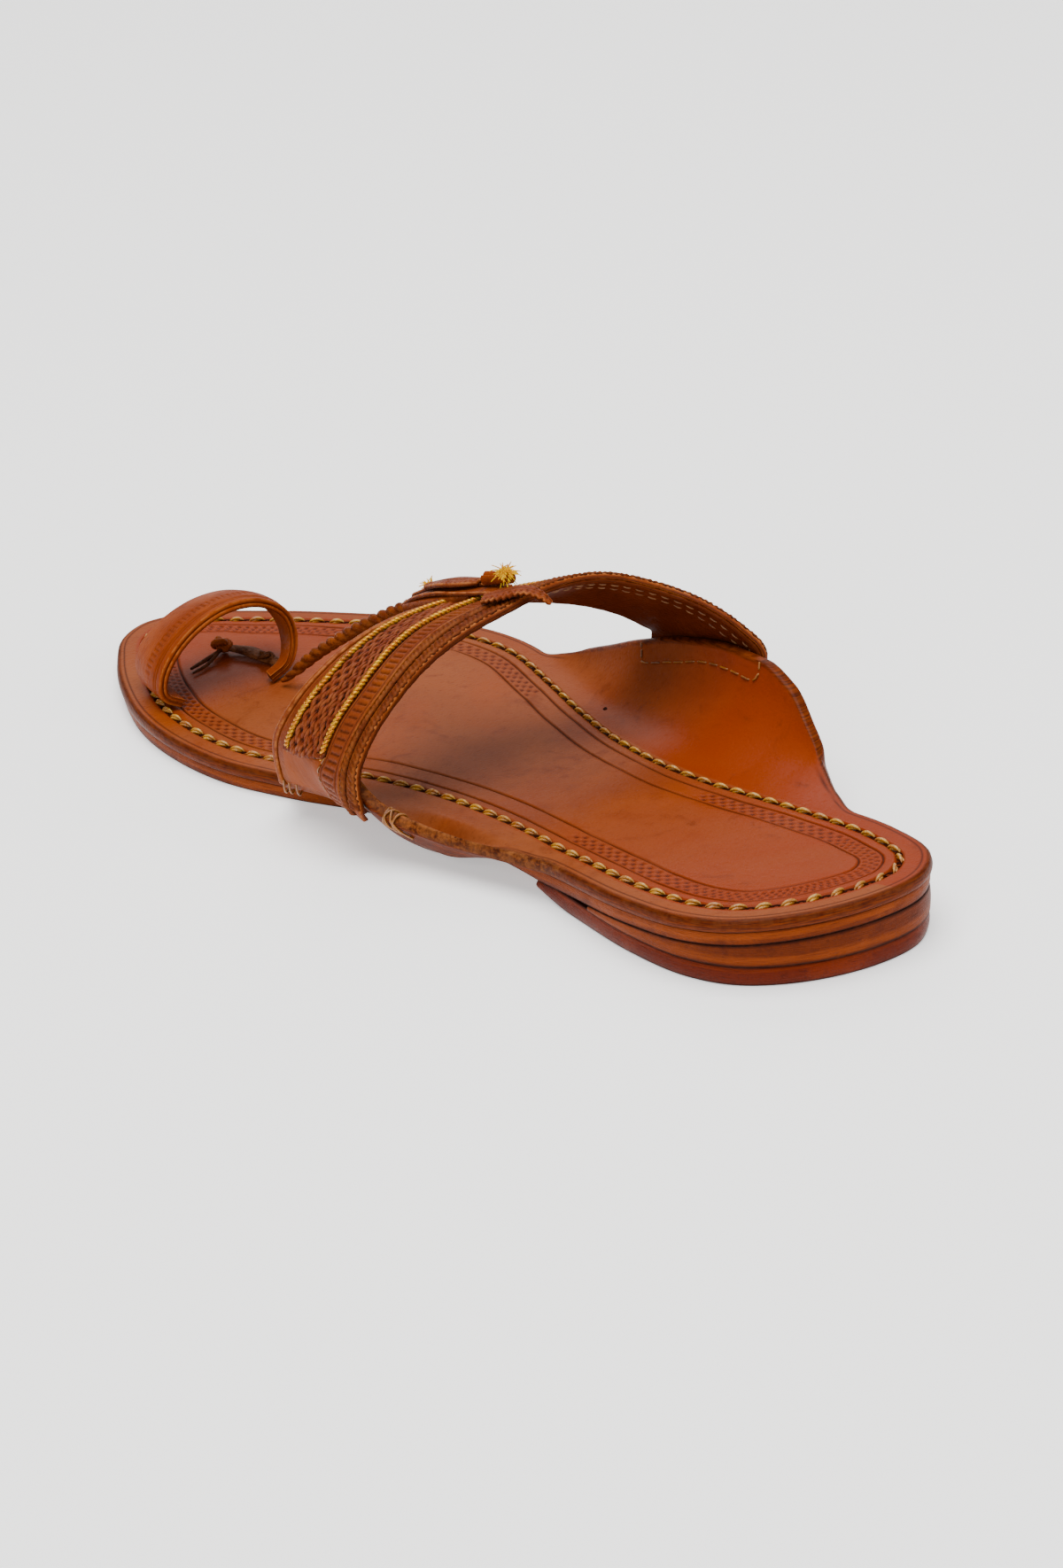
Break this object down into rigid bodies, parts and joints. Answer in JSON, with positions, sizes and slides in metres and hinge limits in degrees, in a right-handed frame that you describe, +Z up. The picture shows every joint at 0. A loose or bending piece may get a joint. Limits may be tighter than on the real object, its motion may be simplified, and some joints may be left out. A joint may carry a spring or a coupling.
{
  "type": "sandal",
  "caption": "Right-foot kolhapuri sandal: stitched leather footbed on a low stacked heel, side ears, instep band, big-toe loop and a twisted cord with a leaf ornament.",
  "frame": {"origin": "middle of the bounding box, on the floor the sole stands on", "axes": "+Z up; toe toward -Y, heel toward +Y; inner (medial) side toward +X"},
  "size_m": [0.1072, 0.2756, 0.0571],
  "materials": {
    "sole_leather": "burnished edge, semi-gloss",
    "heel_leather": "dyed and waxed, semi-gloss",
    "insole_leather": "oiled grain, satin",
    "strap_leather": "oiled grain, satin",
    "cord_leather": "twisted strip, satin",
    "ornament_leather": "oiled strip, satin"
  },
  "bodies": {
    "root": {"outsole": "sole_leather", "heel_lift": "heel_leather", "heel_base": "heel_leather", "insole": "insole_leather", "instep_band": "strap_leather", "toe_loop": "strap_leather", "twisted_cord": "cord_leather", "ornament_leaf_lower": "ornament_leather", "ornament_leaf_upper": "ornament_leather", "ornament_tab": "ornament_leather", "ornament_roll": "ornament_leather", "loop_thong": "cord_leather", "loop_knot": "cord_leather"}
  },
  "joints": []
}
